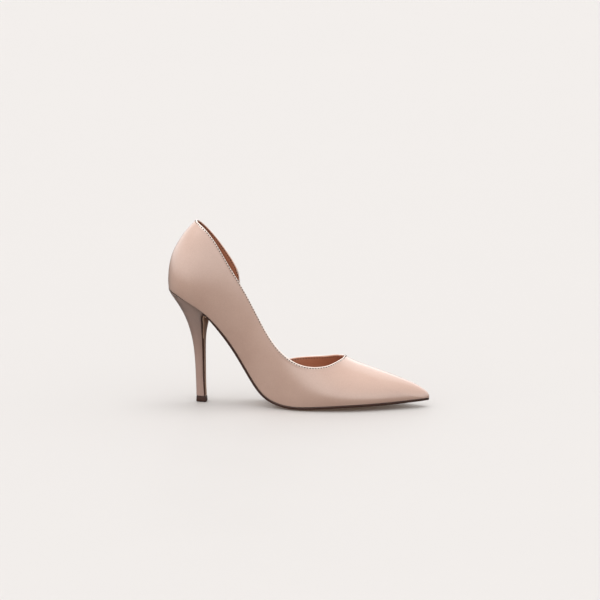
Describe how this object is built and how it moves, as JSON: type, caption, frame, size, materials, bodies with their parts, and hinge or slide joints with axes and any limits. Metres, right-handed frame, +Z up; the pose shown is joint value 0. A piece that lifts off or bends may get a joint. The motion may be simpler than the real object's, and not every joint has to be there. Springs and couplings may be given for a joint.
{
  "type": "high heel pump",
  "caption": "Pointed-toe stiletto pump for the right foot, closed along the outer side and cut away at the inner arch, with a leather-covered slim heel.",
  "frame": {"origin": "on the flat bottom face of the heel tip, on the floor", "axes": "+X forwards to the toe, +Y to the inner side of the foot (a right shoe), +Z up from the floor"},
  "size_m": [0.2411, 0.0748, 0.1692],
  "materials": {
    "upper_leather": "smooth nude-pink calf leather with a soft satin sheen",
    "lining_leather": "tan-brown lining leather, matt",
    "stiffener": "resin-stiffened non-woven board, matt",
    "insole_fibre": "pressed cellulose fibre board, matt",
    "foam": "soft latex foam, matt",
    "felt": "grey felt, matt",
    "sock_leather": "tan-brown sock leather, matt",
    "sole_leather": "dark brown finished sole leather, satin",
    "heel_leather": "nude-pink leather drawn over the heel, satin",
    "heel_plastic": "moulded heel plastic, matt",
    "steel": "plain steel",
    "tip_plastic": "hard dark brown top-piece plastic, matt"
  },
  "bodies": {
    "root": {"vamp_and_outer_quarter": "upper_leather", "inner_quarter": "upper_leather", "toe_puff": "stiffener", "vamp_backer": "stiffener", "heel_counter": "stiffener", "vamp_lining": "lining_leather", "quarter_lining": "lining_leather", "arch_edge_wrap": "upper_leather", "insole_board": "insole_fibre", "steel_shank": "steel", "shank_rivets": "steel", "bottom_filler": "felt", "forepart_cushion": "foam", "heel_pad": "foam", "sock_lining": "sock_leather", "outsole": "sole_leather", "heel_core": "heel_plastic", "heel_cover": "heel_leather", "heel_tube": "steel", "heel_tip": "tip_plastic", "heel_tip_pin": "steel", "heel_screw": "steel", "heel_nails": "steel"}
  },
  "joints": []
}
